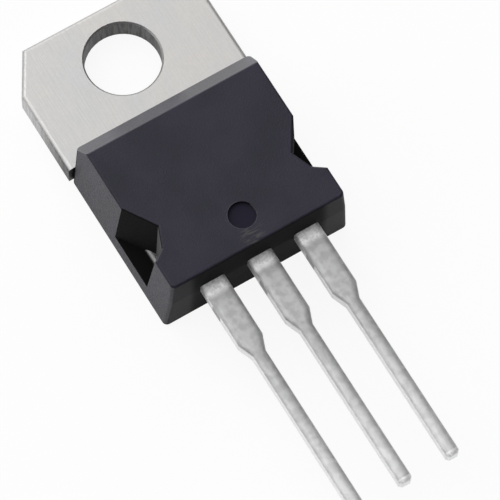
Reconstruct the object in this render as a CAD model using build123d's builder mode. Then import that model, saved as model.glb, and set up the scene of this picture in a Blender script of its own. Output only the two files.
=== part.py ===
from build123d import *

import os
from math import atan2, degrees, hypot, radians, tan

# Power MOSFET in a three-lead TO-220 package, in millimetres, lying on the back of its mounting tab.
# The origin is the centre of the screw hole, on the back face. +X runs across the package from the gate
# lead to the source lead, +Y to the end of the tab and so away from the leads, and +Z to the front face.

# Mounting tab, in the thick part of the copper strip
tab_width = 10.3
tab_length = 6.55  # from the end of the tab to the moulding
tab_thickness = 1.27
tab_corner_across = 1.25  # the cut corners, measured across the tab
tab_corner_along = 2.1  # and along it
hole_diameter = 3.75
hole_to_tab_end = 2.85
rolled_edge_radius = 0.22  # round the outline, where the stamping tool drags the metal down
hole_edge_chamfer = 0.08

# Header, where the tab runs on under the chip
header_width = 8.2
header_end_inset = 2.6  # from the lead end of the moulding
header_undercut = 0.3  # bevel below its edges, which the moulding grips
groove_depth = 0.25  # the moisture groove across the header
groove_inset = 0.7  # from the face of the moulding

# Leads, in the thin part of the strip
lead_pitch = 2.54
lead_thickness = 0.55
lead_underside = 2.5  # height above the back face
lead_length = 13.0  # outside the moulding
lead_wide = 1.32  # beside the moulding
lead_narrow = 0.71  # at the end that is soldered
wide_length = 3.4  # outside the moulding, up to the shoulder
shoulder_length = 0.8
tip_bevel = 0.15
lead_edge_radius = 0.15

# Bend that brings the drain lead up from the header
bend_radius = 0.55
bend_foot_gap = 0.45  # from the end of the header to the lower bend
bend_run = 0.9  # from the lower bend to the upper one, along the package

# Bond posts at the inner ends of the gate and source leads
post_depth = 2.4  # from the face of the moulding
post_length = 1.55
post_inner_edge = 1.35  # from the centre line
gate_post_width = 1.75
source_post_width = 2.2
post_corner_radius = 0.25
lock_hole_diameter = 0.6
lock_hole_depth = 0.5  # its centre, from the face of the moulding

# Moulding
body_width = 10.02  # at the back, where it is widest
body_length = 8.85
body_thickness = 4.5
body_corner_radius = 0.25
side_draft = 4.6  # degrees
lead_end_front_draft = 1.5  # from the leads to the front face
lead_end_back_draft = 3.5  # from the leads to the back
slope_height = 1.17  # the sloping face at the tab's end
slope_setback = 0.95
front_edge_radius = 0.12
ejector_mark_diameter = 1.35
ejector_mark_depth = 0.18
ejector_mark_inset = 1.6  # from the lead end

# Side notches, in which the header's side edges show: their mouth in the front face, and their depth
notch_overlap = 0.47  # of its deepest point over the header
notch_inset = 3.1  # its deepest point, from the lead end
notch_flat_length = 1.05  # from the deepest point to the foot of the short wall
notch_flat_rise = 0.42  # how much shallower the foot is
notch_long_angle = 57.5  # degrees from the line across the package
notch_short_angle = 35.0
notch_draft = 2.0
notch_short_draft = 7.0
notch_floor_drop = 0.25  # below the header's front

# Chip and its solder
die_width = 4.4
die_length = 3.4
die_thickness = 0.28
die_to_header_end = 2.65  # between the chip's centre and the header's end
solder_thickness = 0.05
solder_margin = 0.1
pad_thickness = 0.02
pad_margin = 0.2
gate_pad_width = 0.8
gate_pad_length = 0.7
gate_pad_gap = 0.15
source_bond_place = 0.9  # the middle of the source bonds, from the centre line

# Bond wires
gate_wire_diameter = 0.2
source_wire_diameter = 0.38
source_wire_pitch = 0.95
loop_height = 0.65  # from the bond post to the corner that the loop rounds
loop_radius = 0.7
crest_share = 0.42  # the corner's place, as a share of the span
bond_length_ratio = 2.0  # length of the flattened bond in wire diameters
bond_width_ratio = 1.3
bond_height_ratio = 0.5

# Places along the package
tab_end = hole_to_tab_end
body_tab_end = tab_end - tab_length
body_lead_end = body_tab_end - body_length
header_end = body_lead_end + header_end_inset
shoulder_start = body_lead_end - wide_length
shoulder_end = shoulder_start - shoulder_length
lead_tip = body_lead_end - lead_length
post_inner_end = body_lead_end + post_depth
post_outer_end = post_inner_end - post_length
post_middle = (post_inner_end + post_outer_end) / 2
lock_hole_place = body_lead_end + lock_hole_depth
die_place = header_end + die_to_header_end

# Heights above the back face
lead_centre = lead_underside + lead_thickness / 2
lead_top = lead_underside + lead_thickness
die_underside = tab_thickness + solder_thickness
die_top = die_underside + die_thickness
pad_top = die_top + pad_thickness
slope_start = body_thickness - slope_height
notch_floor = tab_thickness - notch_floor_drop

gate_post_centre = -post_inner_edge - gate_post_width / 2
source_post_centre = post_inner_edge + source_post_width / 2


def half_width(height):
    """Half the moulding's width at a height above the back face."""
    return body_width / 2 - height * tan(radians(side_draft))


def lead_end_inset(height):
    """How far the lead end stands in from the line where the mould parts, mid-way up the leads."""
    if height < lead_centre:
        return (lead_centre - height) * tan(radians(lead_end_back_draft))
    return (height - lead_centre) * tan(radians(lead_end_front_draft))


def lead_outline(inner_end):
    """The plan of one lead about its own centre line, from inside the moulding to its bevelled tip."""
    with BuildSketch() as outline:
        with BuildLine():
            Polyline(
                (0, inner_end),
                (lead_wide / 2, inner_end),
                (lead_wide / 2, shoulder_start),
                (lead_narrow / 2, shoulder_end),
                (lead_narrow / 2, lead_tip + tip_bevel),
                (lead_narrow / 2 - tip_bevel, lead_tip),
                (0, lead_tip),
            )
            mirror(about=Plane.YZ)
        make_face()
    return outline.sketch


def posted_lead(lead_place, post_centre, post_width):
    """A flat lead that widens inside the moulding into the post that the bond wires land on."""
    with BuildPart() as lead:
        with BuildSketch(Plane.XY.offset(lead_underside)):
            with Locations((lead_place, 0)):
                add(lead_outline(post_middle))
            with Locations((post_centre, post_middle)):
                RectangleRounded(post_width, post_length, post_corner_radius)
            with Locations((lead_place, lock_hole_place)):
                Circle(lock_hole_diameter / 2, mode=Mode.SUBTRACT)
        extrude(amount=lead_thickness)
        front_edges = lead.faces().sort_by(Axis.Z)[-1].edges()
        fillet(front_edges.filter_by_position(Axis.Y, lead_tip, body_lead_end), radius=lead_edge_radius)
    return lead.part


def bond_wire(pad_place, post_place, diameter):
    """A wire looped over from pad to post, pressed flat where each bond is made."""
    run_x = post_place[0] - pad_place[0]
    run_y = post_place[1] - pad_place[1]
    span = hypot(run_x, run_y)
    rise = lead_top - pad_top
    radius = diameter / 2
    half_bond = diameter * bond_length_ratio / 2
    crest = rise + loop_height
    heading = degrees(atan2(run_y, run_x))
    wire_plane = Plane(
        origin=(pad_place[0], pad_place[1], pad_top),
        x_dir=(run_x, run_y, 0),
        z_dir=(run_y, -run_x, 0),
    )
    with BuildPart() as wire:
        with BuildLine(wire_plane) as route:
            FilletPolyline(
                (half_bond, radius),
                (span * crest_share, crest),
                (span - half_bond, rise + radius),
                radius=loop_radius,
            )
        with BuildSketch(Plane(origin=route.line @ 0, z_dir=route.line % 0)):
            Circle(radius)
        sweep()
        for place, height in ((pad_place, pad_top), (post_place, lead_top)):
            with BuildSketch(Plane.XY.offset(height)):
                with Locations(place):
                    SlotOverall(
                        diameter * (bond_length_ratio + 1),
                        diameter * bond_width_ratio,
                        rotation=heading,
                    )
            extrude(amount=diameter * bond_height_ratio)
    return wire.part


# Plan of the drain lead, with front edges whose rounding runs out where the strip bends down
with BuildPart() as drain_lead_plan:
    with BuildSketch():
        add(lead_outline(header_end))
    extrude(amount=lead_top)
    fillet(drain_lead_plan.faces().sort_by(Axis.Z)[-1].edges(), radius=lead_edge_radius)

# Drain lead: a strip that leaves the header level with its front and bends up to the other leads' height
with BuildPart() as drain_lead:
    strip_start = tab_thickness - lead_thickness / 2
    lower_bend = header_end - bend_foot_gap
    upper_bend = lower_bend - bend_run
    with BuildSketch(Plane.YZ):
        with BuildLine():
            FilletPolyline(
                (header_end, strip_start),
                (lower_bend, strip_start),
                (upper_bend, lead_centre),
                (lead_tip, lead_centre),
                radius=bend_radius,
            )
        trace(line_width=lead_thickness)
    extrude(amount=lead_wide, both=True)
    add(drain_lead_plan.part, mode=Mode.INTERSECT)

# Drain leadframe: tab, header and drain lead, stamped and bent from one strip of copper
with BuildPart() as drain_leadframe:
    with BuildSketch():
        with BuildLine():
            Polyline(
                (0, tab_end),
                (tab_width / 2 - tab_corner_across, tab_end),
                (tab_width / 2, tab_end - tab_corner_along),
                (tab_width / 2, body_tab_end),
                (header_width / 2, body_tab_end),
                (header_width / 2, header_end),
                (0, header_end),
            )
            mirror(about=Plane.YZ)
        make_face()
        Circle(hole_diameter / 2, mode=Mode.SUBTRACT)
    extrude(amount=tab_thickness)
    # Bevels under the header, so that it can't be pulled out of the moulding
    back_edges = drain_leadframe.faces().sort_by(Axis.Z)[0].edges()
    chamfer(
        back_edges.filter_by_position(Axis.Y, header_end, body_tab_end, inclusive=(True, False)),
        length=header_undercut,
    )
    # Front edges rounded over by the stamping tool; those across the package in the moulding stay sharp
    front_edges = drain_leadframe.faces().sort_by(Axis.Z)[-1].edges()
    hole_edge = front_edges.filter_by(GeomType.CIRCLE)
    sharp_edges = front_edges.filter_by(Axis.X).filter_by_position(Axis.Y, header_end, body_tab_end)
    fillet(front_edges - hole_edge - sharp_edges, radius=rolled_edge_radius)
    chamfer(hole_edge, length=hole_edge_chamfer)
    # Groove that keeps moisture from creeping along the header to the chip
    groove_place = body_tab_end - groove_inset
    with BuildSketch(Plane.YZ):
        with BuildLine():
            Polyline(
                (groove_place - groove_depth, tab_thickness),
                (groove_place, tab_thickness - groove_depth),
                (groove_place + groove_depth, tab_thickness),
                close=True,
            )
        make_face()
    extrude(amount=header_width, both=True, mode=Mode.SUBTRACT)
    add(drain_lead.part)

gate_lead = posted_lead(-lead_pitch, gate_post_centre, gate_post_width)
source_lead = posted_lead(lead_pitch, source_post_centre, source_post_width)

# Solder that holds the chip to the header
with BuildPart() as die_solder:
    with BuildSketch(Plane.XY.offset(tab_thickness)):
        with Locations((0, die_place)):
            Rectangle(die_width + 2 * solder_margin, die_length + 2 * solder_margin)
    extrude(amount=solder_thickness)

# Chip, with the gate pad in its corner by the gate lead and the source pad over the rest of its face
pad_left = -die_width / 2 + pad_margin
pad_lead_end = die_place - die_length / 2 + pad_margin
gate_pad_place = (pad_left + gate_pad_width / 2, pad_lead_end + gate_pad_length / 2)
with BuildPart() as mosfet_die:
    with BuildSketch(Plane.XY.offset(die_underside)):
        with Locations((0, die_place)):
            Rectangle(die_width, die_length)
    extrude(amount=die_thickness)
    with BuildSketch(Plane.XY.offset(die_top)):
        with Locations((0, die_place)):
            Rectangle(die_width - 2 * pad_margin, die_length - 2 * pad_margin)
        with Locations(gate_pad_place):
            Rectangle(
                gate_pad_width + 2 * gate_pad_gap,
                gate_pad_length + 2 * gate_pad_gap,
                mode=Mode.SUBTRACT,
            )
            Rectangle(gate_pad_width, gate_pad_length)
    extrude(amount=pad_thickness)

# Bond wires: one thin wire to the gate lead and two heavy ones side by side to the source lead
gate_wire = bond_wire(gate_pad_place, (gate_post_centre, post_middle), gate_wire_diameter)
source_wires = [
    bond_wire(
        (source_bond_place + offset, die_place),
        (source_post_centre + offset, post_middle),
        source_wire_diameter,
    )
    for offset in (-source_wire_pitch / 2, source_wire_pitch / 2)
]

# Notch in the moulding's right side, as a solid to cut with, which reaches well outside the moulding
notch_apex = (header_width / 2 - notch_overlap, body_lead_end + notch_inset)
notch_foot = (notch_apex[0] + notch_flat_rise, notch_apex[1] - notch_flat_length)
with BuildPart() as notch:
    with BuildSketch(Plane.XY.offset(body_thickness)):
        with BuildLine():
            long_wall = PolarLine(notch_apex, body_width, notch_long_angle)
            Line(notch_apex, notch_foot)
            short_wall = PolarLine(notch_foot, body_width, -notch_short_angle)
            Line(long_wall @ 1, short_wall @ 1)
        make_face()
    extrude(amount=notch_floor - body_thickness)
    mouth = Plane.XY.offset(body_thickness)
    inner_faces = notch.faces().filter_by(Axis.Z, reverse=True).sort_by(Axis.X)[:2]
    draft(inner_faces, mouth, -notch_draft)
    short_face = notch.faces().filter_by(Axis.Z, reverse=True).sort_by(Axis.Y)[0]
    draft(short_face, mouth, -notch_short_draft)

# Moulding: a drafted block, the slope at the tab's end, the side notches, the ejector mark and the cavities
# that the pieces inside it fill
with BuildPart() as moulded_body:
    for height in (0, lead_centre, body_thickness):
        lead_end = body_lead_end + lead_end_inset(height)
        with BuildSketch(Plane.XY.offset(height)):
            with Locations((0, (body_tab_end + lead_end) / 2)):
                RectangleRounded(2 * half_width(height), body_tab_end - lead_end, body_corner_radius)
    loft(ruled=True)
    with BuildSketch(Plane.YZ):
        with BuildLine():
            Polyline(
                (body_tab_end, slope_start),
                (body_tab_end, body_thickness),
                (body_tab_end - slope_setback, body_thickness),
                close=True,
            )
        make_face()
    extrude(amount=body_width, both=True, mode=Mode.SUBTRACT)
    add(notch.part, mode=Mode.SUBTRACT)
    mirror(notch.part, about=Plane.YZ, mode=Mode.SUBTRACT)
    fillet(moulded_body.faces().sort_by(Axis.Z)[-1].edges(), radius=front_edge_radius)
    with Locations((0, body_lead_end + ejector_mark_inset, body_thickness)):
        Hole(ejector_mark_diameter / 2, depth=ejector_mark_depth)
    for inner_piece in (drain_leadframe.part, gate_lead, source_lead, die_solder.part, mosfet_die.part):
        add(inner_piece, mode=Mode.SUBTRACT)
    for wire in (gate_wire, *source_wires):
        add(wire, mode=Mode.SUBTRACT)

pieces = {
    "moulded_body": moulded_body.part,
    "drain_leadframe": drain_leadframe.part,
    "gate_lead": gate_lead,
    "source_lead": source_lead,
    "mosfet_die": mosfet_die.part,
    "die_solder": die_solder.part,
    "gate_wire": gate_wire,
    "source_wire_1": source_wires[0],
    "source_wire_2": source_wires[1],
}
os.makedirs("parts", exist_ok=True)
for name, piece in pieces.items():
    piece.label = name
    export_step(piece, f"parts/{name}.step")
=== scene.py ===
from math import cos, pi, radians, sin

import bpy
from mathutils import Matrix, Vector


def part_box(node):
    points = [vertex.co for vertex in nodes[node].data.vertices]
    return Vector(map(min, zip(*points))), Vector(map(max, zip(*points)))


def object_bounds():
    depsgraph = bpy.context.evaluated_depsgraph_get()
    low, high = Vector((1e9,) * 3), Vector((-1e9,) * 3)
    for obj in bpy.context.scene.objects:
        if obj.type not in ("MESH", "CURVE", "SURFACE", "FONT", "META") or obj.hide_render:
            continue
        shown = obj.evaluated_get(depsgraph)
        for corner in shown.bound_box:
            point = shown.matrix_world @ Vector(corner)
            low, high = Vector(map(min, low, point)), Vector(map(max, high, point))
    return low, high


# Looks of the power MOSFET: matt black epoxy on a tinned copper tab and leads, lying on a white sheet.
# Lengths are in metres, angles in degrees and colours linear. Azimuth 0 looks along +Y, and elevation is
# above the floor. The leads point along -Y, and the origin is the middle of the tab's hole.
# A name that ends in _step holds the middle and the width of a soft step between two looks, and one that
# ends in _border holds the width of such a step in metres.

millimetre = 0.001
border = 0.1 * millimetre  # where nothing softer or sharper is named

# Camera
camera_azimuth = -32.7
camera_elevation = 67.8
camera_roll = 1.8
camera_distance = 0.2208
camera_lens = 337.2  # with a 36 mm sensor
camera_aim = Vector((0.4, 0.25, 0)) * millimetre  # from the middle of the part, on the floor

# Square lamps: azimuth, elevation, distance, width, and how bright a mirror would show them
lamps = {
    "key_light": (-130, 42, 0.6, 0.7, 1.6),
    "top_light": (150, 72, 0.6, 0.5, 0.8),
    "back_light": (166, 30, 0.6, 0.6, 1.5),
    "fill_light": (100, 32, 0.6, 0.5, 0.25),
    "front_light": (-33, 78, 0.6, 0.4, 1.4),
}
sky_strength = 0.12

# Floor
floor_width = 2.0
floor_grey = 0.88
floor_roughness = 0.8
floor_seen_white = 0.9  # how far the camera sees it as plain white
floor_mirrored_white = 0.45  # how far the part mirrors it so

# Random patches, by the level of the noise
patch_step = (0.5, 0.3)
grain_step = (0.5, 0.4)

# Moulding compound
compound_dark = (0.011, 0.010, 0.021, 1)
compound_light = (0.017, 0.015, 0.030, 1)
compound_smooth = 0.38
compound_rough = 0.48
compound_specular = 0.26
cloud_size = 2.5 * millimetre
grain_size = 0.09 * millimetre
grain_depth = 0.006 * millimetre
filler_step = (0.71, 0.18)  # of the noise, so high that few specks of filler show
filler_share = 0.5
filler_grey = 0.05
rubbed_grey = 0.12
rubbed_width = 0.1 * millimetre  # of the wear along sharp edges
rubbed_step = (0.89, 0.18)  # of the cosine between the rounded normal and the true one
slope_step = (0.3, 0.2)  # of the normal's Y times Z, which is high only on the slope at the tab's end
slope_coat_roughness = 0.4

# Ejector mark
mark_inset = 1.6 * millimetre  # its centre, from the leads' end of the moulding
mark_radius = 0.69 * millimetre
mark_border = 0.03 * millimetre
# Painted shade darkens the pin's recess; its dullness is its own
mark_shade_colour = (0.008, 0.006, 0.017, 1)
mark_roughness = 0.8

# Scuffs
scuff_across = -0.1 * millimetre
scuff_inset = 0.5 * millimetre  # from the leads' end
scuff_radius = 0.55 * millimetre
scuff_size = 0.1 * millimetre
scuff_stretch = 6
scuff_step = (0.55, 0.2)  # of the noise
scuff_grey = 0.045

# Side notches
notch_start = 0.6 * millimetre  # from the leads' end, short of the nearer notch wall
notch_start_border = 0.4 * millimetre
notch_floor_limit = 1.75 * millimetre  # above the back; only the notches' floors face up below it
notch_floor_border = 0.5 * millimetre
notch_floor_step = (0.7, 0.4)  # of the normal's Z
notch_slant_step = (0.15, 0.1)  # of the normal's X times Y
# Painted shade: near black inside the notches, where shade falls
notch_painted_shade = 0.001
notch_roughness = 1.0
notch_wall_limit = 4.2 * millimetre  # from the middle; only the notches' flat walls face sideways inside it
notch_wall_step = (0.9, 0.1)  # of the normal's X
# Painted highlight on the notches' flat walls
notch_wall_painted_highlight = 0.1

# Leads' end of the moulding
leads_end_step = (-0.75, 0.3)  # of the normal's Y
leads_end_middle_width = 3.3 * millimetre  # of each half of its middle
leads_end_middle_border = 0.5 * millimetre
corner_share = 0.7  # of the painted shade and dullness that its corners have
# Painted shade on the leads' end, which faces away from the lamps
leads_end_painted_shade = 0.006
leads_end_roughness = 0.9

# Tinned copper
tin_smooth = 0.41
tin_rough = 0.48
crystal_size = 0.12 * millimetre
rolled_size = 0.08 * millimetre
rolled_stretch = 18
rolled_depth = 0.0015 * millimetre
upright_step = (0.55, 0.5)  # of the normal's Z

# Tab and header
tin_cloud_size = 2.2 * millimetre
tab_cool = (0.475, 0.475, 0.475, 1)
tab_warm = (0.498, 0.484, 0.47, 1)
tab_crystal_share = 0.25
tab_crystal_grey = 0.42
header_painted_shade = 0.22  # painted shade on it, where it shows in the notches
streak_stretch = 12
# Sheared copper, darkened by painted shade near the moulding and in the hole
sheared_shade_dark = (0.066, 0.065, 0.064, 1)
sheared_shade_light = (0.143, 0.14, 0.137, 1)
side_dark = 0.48
side_light = 0.62
shaded_side_length = 4 * millimetre  # of the tab's sides, from the moulding, that painted shade darkens
hole_radius = 1.875 * millimetre
hole_margin = 0.15 * millimetre  # beyond the hole's wall, so that all of it has the dark streaks and painted shade

# Leads
blotch_size = 0.35 * millimetre
wide_length = 3.4 * millimetre  # of each lead, from the moulding to its shoulders
wide_dark = 0.345
wide_light = 0.42
tip_dark = 0.5
tip_light = 0.58
tip_length = 0.25 * millimetre
# Painted highlight on the leads' sides and tips, for the bright floor they mirror
lead_side_highlight_grey = 0.95
lead_rounding = 0.5 * millimetre  # of their soft edges, in the shading
root_border = 0.05 * millimetre  # between a lead and what lies in the moulding
bare_length = 0.68 * millimetre  # of each lead beside the moulding, where the dipped tin stops short
bare_border = 0.4 * millimetre
bare_dark = 0.78
bare_light = 1.0
cut_start = 1.1 * millimetre  # from the moulding, where the bar that joined the leads was cut away
cut_end = 1.8 * millimetre
cut_grey = 0.45

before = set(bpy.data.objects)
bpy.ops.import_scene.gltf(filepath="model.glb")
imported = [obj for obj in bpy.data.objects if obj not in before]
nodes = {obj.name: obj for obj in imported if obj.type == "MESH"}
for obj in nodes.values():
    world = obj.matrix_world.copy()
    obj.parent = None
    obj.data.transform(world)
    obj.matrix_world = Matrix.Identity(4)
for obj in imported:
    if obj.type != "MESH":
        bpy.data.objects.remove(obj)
cad_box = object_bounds()
body_low, body_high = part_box("moulded_body")
lead_length = body_low.y - cad_box[0].y
middle = (cad_box[0] + cad_box[1]) / 2
on_floor = Vector((middle.x, middle.y, cad_box[0].z))


def aim_at(thing, aim, azimuth, elevation, distance, roll=0):
    """Stands a camera or a lamp off a point, looking at it."""
    around = radians(azimuth)
    above = radians(elevation)
    back = Vector((sin(around) * cos(above), -cos(around) * cos(above), sin(above)))
    right = Vector((cos(around), sin(around), 0))
    turn = Matrix((right, back.cross(right), back)).transposed() @ Matrix.Rotation(radians(roll), 3, "Z")
    thing.matrix_world = Matrix.Translation(aim + back * distance) @ turn.to_4x4()


def add_object(name, data):
    """Puts a camera, a lamp or a mesh into the scene."""
    thing = bpy.data.objects.new(name, data)
    bpy.context.scene.collection.objects.link(thing)
    return thing


# Camera
camera_data = bpy.data.cameras.new("camera")
camera_data.lens = camera_lens
camera = add_object("camera", camera_data)
aim_at(camera, on_floor + camera_aim, camera_azimuth, camera_elevation, camera_distance, camera_roll)
bpy.context.scene.camera = camera

# Lights
for name, (azimuth, elevation, distance, width, brightness) in lamps.items():
    lamp = bpy.data.lights.new(name, "AREA")
    lamp.size = width
    lamp.energy = brightness * pi * width**2  # the power that a matt square of this brightness gives off
    aim_at(add_object(name, lamp), middle, azimuth, elevation, distance)

sky = bpy.data.worlds.new("sky")
sky.use_nodes = True
sky.node_tree.nodes["Background"].inputs["Color"].default_value = (1, 1, 1, 1)
sky.node_tree.nodes["Background"].inputs["Strength"].default_value = sky_strength
bpy.context.scene.world = sky
bpy.context.scene.view_settings.view_transform = "Standard"


def grey(level):
    """An opaque grey, as a colour."""
    return (level, level, level, 1)


class Shader:
    """A material's node tree, with short calls for the nodes that are used here. Masks run from 0 to 1."""

    def __init__(self, name):
        self.material = bpy.data.materials.new(name)
        self.material.use_nodes = True
        self.tree = self.material.node_tree
        self.surface = self.tree.nodes["Principled BSDF"].inputs

    def feed(self, socket, value):
        """Links an output into a socket, or sets the socket to a plain value."""
        if isinstance(value, bpy.types.NodeSocket):
            self.tree.links.new(value, socket)
        else:
            socket.default_value = value

    def node(self, kind, **inputs):
        """Adds a node. An input's name has _ where Blender has a space."""
        made = self.tree.nodes.new(kind)
        for name, value in inputs.items():
            self.feed(made.inputs[name.replace("_", " ")], value)
        return made

    def maths(self, operation, *values):
        made = self.tree.nodes.new("ShaderNodeMath")
        made.operation = operation
        for socket, value in zip(made.inputs, values):
            self.feed(socket, value)
        return made.outputs["Value"]

    def vector_maths(self, operation, output, *values):
        made = self.tree.nodes.new("ShaderNodeVectorMath")
        made.operation = operation
        for socket, value in zip(made.inputs, values):
            self.feed(socket, value)
        return made.outputs[output]

    def both(self, first, second):
        """Mask of where two masks meet, or a product."""
        return self.maths("MULTIPLY", first, second)

    def either(self, first, second):
        """Mask of where either of two masks is, or the greater value."""
        return self.maths("MAXIMUM", first, second)

    def magnitude(self, value):
        return self.maths("ABSOLUTE", value)

    def span(self, value, low, high, to_low, to_high):
        """Carries a range softly over to another, and holds it at its ends."""
        made = self.node("ShaderNodeMapRange", Value=value)
        made.interpolation_type = "SMOOTHSTEP"
        made.inputs["From Min"].default_value = low
        made.inputs["From Max"].default_value = high
        made.inputs["To Min"].default_value = to_low
        made.inputs["To Max"].default_value = to_high
        return made.outputs["Result"]

    def above(self, value, edge, soft):
        """Mask of what lies above an edge, with a soft step of this width across it."""
        return self.span(value, edge - soft / 2, edge + soft / 2, 0.0, 1.0)

    def below(self, value, edge, soft):
        """Mask of what lies below an edge, with a soft step of this width across it."""
        return self.span(value, edge - soft / 2, edge + soft / 2, 1.0, 0.0)

    def mix(self, amount, first, second):
        """The first colour where the amount is 0, and the second where it is 1."""
        made = self.tree.nodes.new("ShaderNodeMix")
        made.data_type = "RGBA"
        colour_sockets = [socket for socket in made.inputs if socket.type == "RGBA"]
        self.feed(made.inputs["Factor"], amount)
        self.feed(colour_sockets[0], first)
        self.feed(colour_sockets[1], second)
        return next(socket for socket in made.outputs if socket.type == "RGBA")

    def points(self, output):
        return self.node("ShaderNodeTexCoord").outputs[output]

    def axes(self, output):
        """X, Y and Z of the points of the part, or of their normals."""
        return self.node("ShaderNodeSeparateXYZ", Vector=self.points(output)).outputs

    def spot(self, x, y, radius, soft):
        """Mask of what lies within a radius of an upright axis."""
        flat = self.vector_maths("MULTIPLY", "Vector", self.points("Object"), (1, 1, 0))
        return self.below(self.vector_maths("DISTANCE", "Value", flat, (x, y, 0)), radius, soft)

    def patches(self, size, stretch=(1, 1, 1), step=patch_step):
        """Mask of random patches of about this size, drawn out by the stretch."""
        scaled = self.node("ShaderNodeMapping", Vector=self.points("Object"))
        scaled.inputs["Scale"].default_value = [1 / (size * factor) for factor in stretch]
        noise = self.node("ShaderNodeTexNoise", Vector=scaled.outputs["Vector"], Scale=1.0)
        return self.above(noise.outputs["Fac"], *step)

    def rounded(self, radius):
        """The normal, as if the edges had this radius."""
        return self.node("ShaderNodeBevel", Radius=radius).outputs["Normal"]

    def edges(self, radius):
        """Mask of what lies within a radius of a sharp edge."""
        facing = self.node("ShaderNodeNewGeometry").outputs["Normal"]
        alike = self.vector_maths("DOT_PRODUCT", "Value", self.rounded(radius), facing)
        return self.below(alike, *rubbed_step)

    def bump(self, height, depth, **over):
        """Shades the surface as if this mask stood out by the depth."""
        made = self.node("ShaderNodeBump", Height=height, Distance=depth, **over)
        self.feed(self.surface["Normal"], made.outputs["Normal"])


def notch_masks(shader, place, normal):
    """Masks of the side notches' slanting walls and floors, where shade is painted, and of the flat walls
    between, where a highlight is painted.
    """
    slanting = shader.above(shader.magnitude(shader.both(normal["X"], normal["Y"])), *notch_slant_step)
    floors = shader.both(
        shader.below(place["Z"], notch_floor_limit, notch_floor_border),
        shader.above(normal["Z"], *notch_floor_step),
    )
    past_start = shader.above(place["Y"], body_low.y + notch_start, notch_start_border)
    highlit_flat_walls = shader.both(
        shader.above(shader.magnitude(normal["X"]), *notch_wall_step),
        shader.below(shader.magnitude(place["X"]), notch_wall_limit, border),
    )
    return shader.both(shader.either(slanting, floors), past_start), highlit_flat_walls


def leads_end_mask(shader, place, normal):
    """Mask of the leads' end, full in its middle between the leads, for its painted shade and its dullness.
    """
    across = shader.magnitude(place["X"])
    return shader.both(
        shader.below(normal["Y"], *leads_end_step),
        shader.span(across, leads_end_middle_width, leads_end_middle_width + leads_end_middle_border, 1.0, corner_share),
    )


def moulding_compound():
    """Matt black epoxy with faint flow clouds, specks of filler and rubbed edges."""
    shader = Shader("moulding_compound")
    place = shader.axes("Object")
    normal = shader.axes("Normal")
    clouds = shader.patches(cloud_size)
    grain = shader.patches(grain_size, step=grain_step)
    specks = shader.patches(grain_size, step=filler_step)
    shade = shader.mix(clouds, compound_dark, compound_light)
    shade = shader.mix(shader.both(specks, filler_share), shade, grey(filler_grey))
    shade = shader.mix(shader.both(shader.edges(rubbed_width), clouds), shade, grey(rubbed_grey))

    # Faint scuffs by the leads' end
    scratches = shader.patches(scuff_size, stretch=(scuff_stretch, 1, 1), step=scuff_step)
    scuffed = shader.spot(scuff_across, body_low.y + scuff_inset, scuff_radius, scuff_radius)
    shade = shader.mix(shader.both(scuffed, scratches), shade, grey(scuff_grey))

    # The ejector pin leaves a dull disc, and painted shade darkens its recess
    mark = shader.spot(0, body_low.y + mark_inset, mark_radius, mark_border)
    shade = shader.mix(mark, shade, mark_shade_colour)

    # Painted shade darkens the notches, and a painted highlight lightens their flat walls
    shaded_notches, highlit_flat_walls = notch_masks(shader, place, normal)
    shade = shader.mix(shaded_notches, shade, grey(notch_painted_shade))
    shade = shader.mix(highlit_flat_walls, shade, grey(notch_wall_painted_highlight))

    # Painted shade darkens the leads' end, most between the leads, and it is duller
    leads_end = leads_end_mask(shader, place, normal)
    shade = shader.mix(leads_end, shade, grey(leads_end_painted_shade))

    roughness = shader.span(grain, 0.0, 1.0, compound_smooth, compound_rough)
    dulled = ((shaded_notches, notch_roughness), (mark, mark_roughness), (leads_end, leads_end_roughness))
    for mask, dullness in dulled:
        roughness = shader.either(roughness, shader.both(mask, dullness))
    shader.feed(shader.surface["Base Color"], shade)
    shader.feed(shader.surface["Roughness"], roughness)
    shader.surface["Specular IOR Level"].default_value = compound_specular

    # The slope was polished in the mould
    slope = shader.above(shader.both(normal["Y"], normal["Z"]), *slope_step)
    shader.feed(shader.surface["Coat Weight"], slope)
    shader.surface["Coat Roughness"].default_value = slope_coat_roughness
    shader.bump(grain, grain_depth)
    return shader.material


def tab_colour(shader, along, crystals, upright):
    """Clean tin on the tab, painted shade on the header, and sides of sheared copper, with painted shade
    near the moulding and in the hole.
    """
    tin = shader.mix(shader.patches(tin_cloud_size), tab_cool, tab_warm)
    tin = shader.mix(shader.both(crystals, tab_crystal_share), tin, grey(tab_crystal_grey))
    # Painted shade darkens the header where the notches show it
    in_body = shader.below(along, body_high.y, border)
    tin = shader.mix(in_body, tin, grey(header_painted_shade))

    # The stamping tool's streaks grow lighter away from the moulding but stay dark in the hole; painted
    # shade darkens the sheared copper near the moulding and in the hole
    streaks = shader.patches(crystal_size, stretch=(1, 1, streak_stretch))
    sheared_shade = shader.mix(streaks, sheared_shade_dark, sheared_shade_light)
    far_side = shader.mix(streaks, grey(side_dark), grey(side_light))
    off_body = shader.span(along, body_high.y, body_high.y + shaded_side_length, 0.0, 1.0)
    near_hole = shader.spot(0, 0, hole_radius + hole_margin, border)
    side = shader.mix(near_hole, shader.mix(off_body, sheared_shade, far_side), sheared_shade)
    return shader.mix(upright, tin, side)


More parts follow.
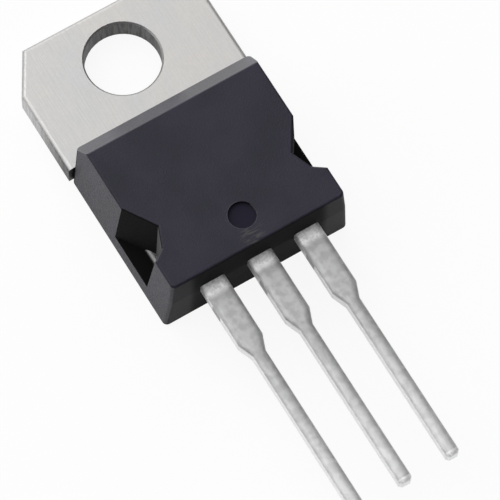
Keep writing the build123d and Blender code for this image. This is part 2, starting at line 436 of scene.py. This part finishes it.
def lead_colour(shader, out, crystals, upright):
    """Dipped tin, greyer where the leads are wide, with a painted highlight on their sides and tips."""
    blotches = shader.patches(blotch_size)
    to_tip = shader.span(out, wide_length, lead_length, 0.0, 1.0)
    tin = shader.mix(blotches, grey(wide_dark), grey(wide_light))
    tin = shader.mix(to_tip, tin, shader.mix(blotches, grey(tip_dark), grey(tip_light)))
    tip = shader.above(out, lead_length - tip_length, border)
    # A painted highlight lightens the leads' sides and tips
    tin = shader.mix(shader.either(upright, tip), tin, grey(lead_side_highlight_grey))

    # Beside the moulding the leads are bare and mottled
    bare = shader.below(out, bare_length, bare_border)
    tin = shader.mix(bare, tin, shader.mix(crystals, grey(bare_dark), grey(bare_light)))

    # Their sides are scarred where the bar between them was cut away
    cut = shader.both(shader.above(out, cut_start, border), shader.below(out, cut_end, border))
    return shader.mix(shader.both(cut, upright), tin, grey(cut_grey))


def tinned_copper():
    """Matt tin on stamped copper, with fine crystals and a rolled grain along the strip."""
    shader = Shader("tinned_copper")
    along = shader.axes("Object")["Y"]
    out = shader.maths("SUBTRACT", body_low.y, along)
    on_leads = shader.above(out, 0.0, root_border)
    crystals = shader.patches(crystal_size)
    rolled = shader.patches(rolled_size, stretch=(1, rolled_stretch, 1), step=grain_step)
    upright = shader.below(shader.magnitude(shader.axes("Normal")["Z"]), *upright_step)
    tab = tab_colour(shader, along, crystals, upright)
    lead = lead_colour(shader, out, crystals, upright)
    shader.feed(shader.surface["Base Color"], shader.mix(on_leads, tab, lead))
    shader.surface["Metallic"].default_value = 1.0
    shader.feed(shader.surface["Roughness"], shader.span(rolled, 0.0, 1.0, tin_smooth, tin_rough))
    shader.bump(rolled, rolled_depth, Normal=shader.rounded(shader.both(on_leads, lead_rounding)))
    return shader.material


def grained(name, dark, light, metallic, smooth, rough, size, stretch=(1, 1, 1)):
    """A finish whose colour and gloss both follow one grain."""
    shader = Shader(name)
    grain = shader.patches(size, stretch, step=grain_step)
    shader.feed(shader.surface["Base Color"], shader.mix(grain, dark, light))
    shader.feed(shader.surface["Roughness"], shader.span(grain, 0.0, 1.0, smooth, rough))
    shader.surface["Metallic"].default_value = metallic
    shader.bump(grain, grain_depth)
    return shader.material


def dress(names, material):
    """Gives the named CAD nodes this material in every slot."""
    for name in names:
        for slot in nodes[name].material_slots:
            slot.material = material


silicon = grained(
    "silicon",
    dark=(0.22, 0.23, 0.27, 1),
    light=(0.34, 0.35, 0.39, 1),
    metallic=0.6,
    smooth=0.15,
    rough=0.3,
    size=0.1 * millimetre,
)
solder = grained(
    "solder",
    dark=grey(0.42),
    light=grey(0.58),
    metallic=1.0,
    smooth=0.4,
    rough=0.6,
    size=0.2 * millimetre,
)
aluminium = grained(
    "wire_aluminium",
    dark=grey(0.7),
    light=grey(0.82),
    metallic=1.0,
    smooth=0.25,
    rough=0.4,
    size=0.03 * millimetre,
    stretch=(1, 20, 1),
)
dress(["moulded_body"], moulding_compound())
dress(["drain_leadframe", "gate_lead", "source_lead"], tinned_copper())
dress(["mosfet_die"], silicon)
dress(["die_solder"], solder)
dress(["gate_wire", "source_wire_1", "source_wire_2"], aluminium)


def floor_paper():
    """White paper that keeps the part's shadow, and looks whiter to the camera and in reflections."""
    shader = Shader("floor_paper")
    shader.surface["Base Color"].default_value = grey(floor_grey)
    shader.surface["Roughness"].default_value = floor_roughness
    rays = shader.node("ShaderNodeLightPath").outputs
    whiter = shader.either(
        shader.both(rays["Is Camera Ray"], floor_seen_white),
        shader.both(rays["Is Glossy Ray"], floor_mirrored_white),
    )
    white = shader.node("ShaderNodeEmission").outputs["Emission"]
    blend = shader.node("ShaderNodeMixShader")
    paper = shader.tree.nodes["Principled BSDF"].outputs["BSDF"]
    for socket, value in zip(blend.inputs, (whiter, paper, white)):
        shader.feed(socket, value)
    shader.feed(shader.tree.nodes["Material Output"].inputs["Surface"], blend.outputs["Shader"])
    return shader.material


half = floor_width / 2
corners = [(-half, -half, 0), (half, -half, 0), (half, half, 0), (-half, half, 0)]
floor_mesh = bpy.data.meshes.new("floor")
floor_mesh.from_pydata(corners, [], [range(len(corners))])
floor_mesh.materials.append(floor_paper())
floor = add_object("floor", floor_mesh)
floor.location = on_floor
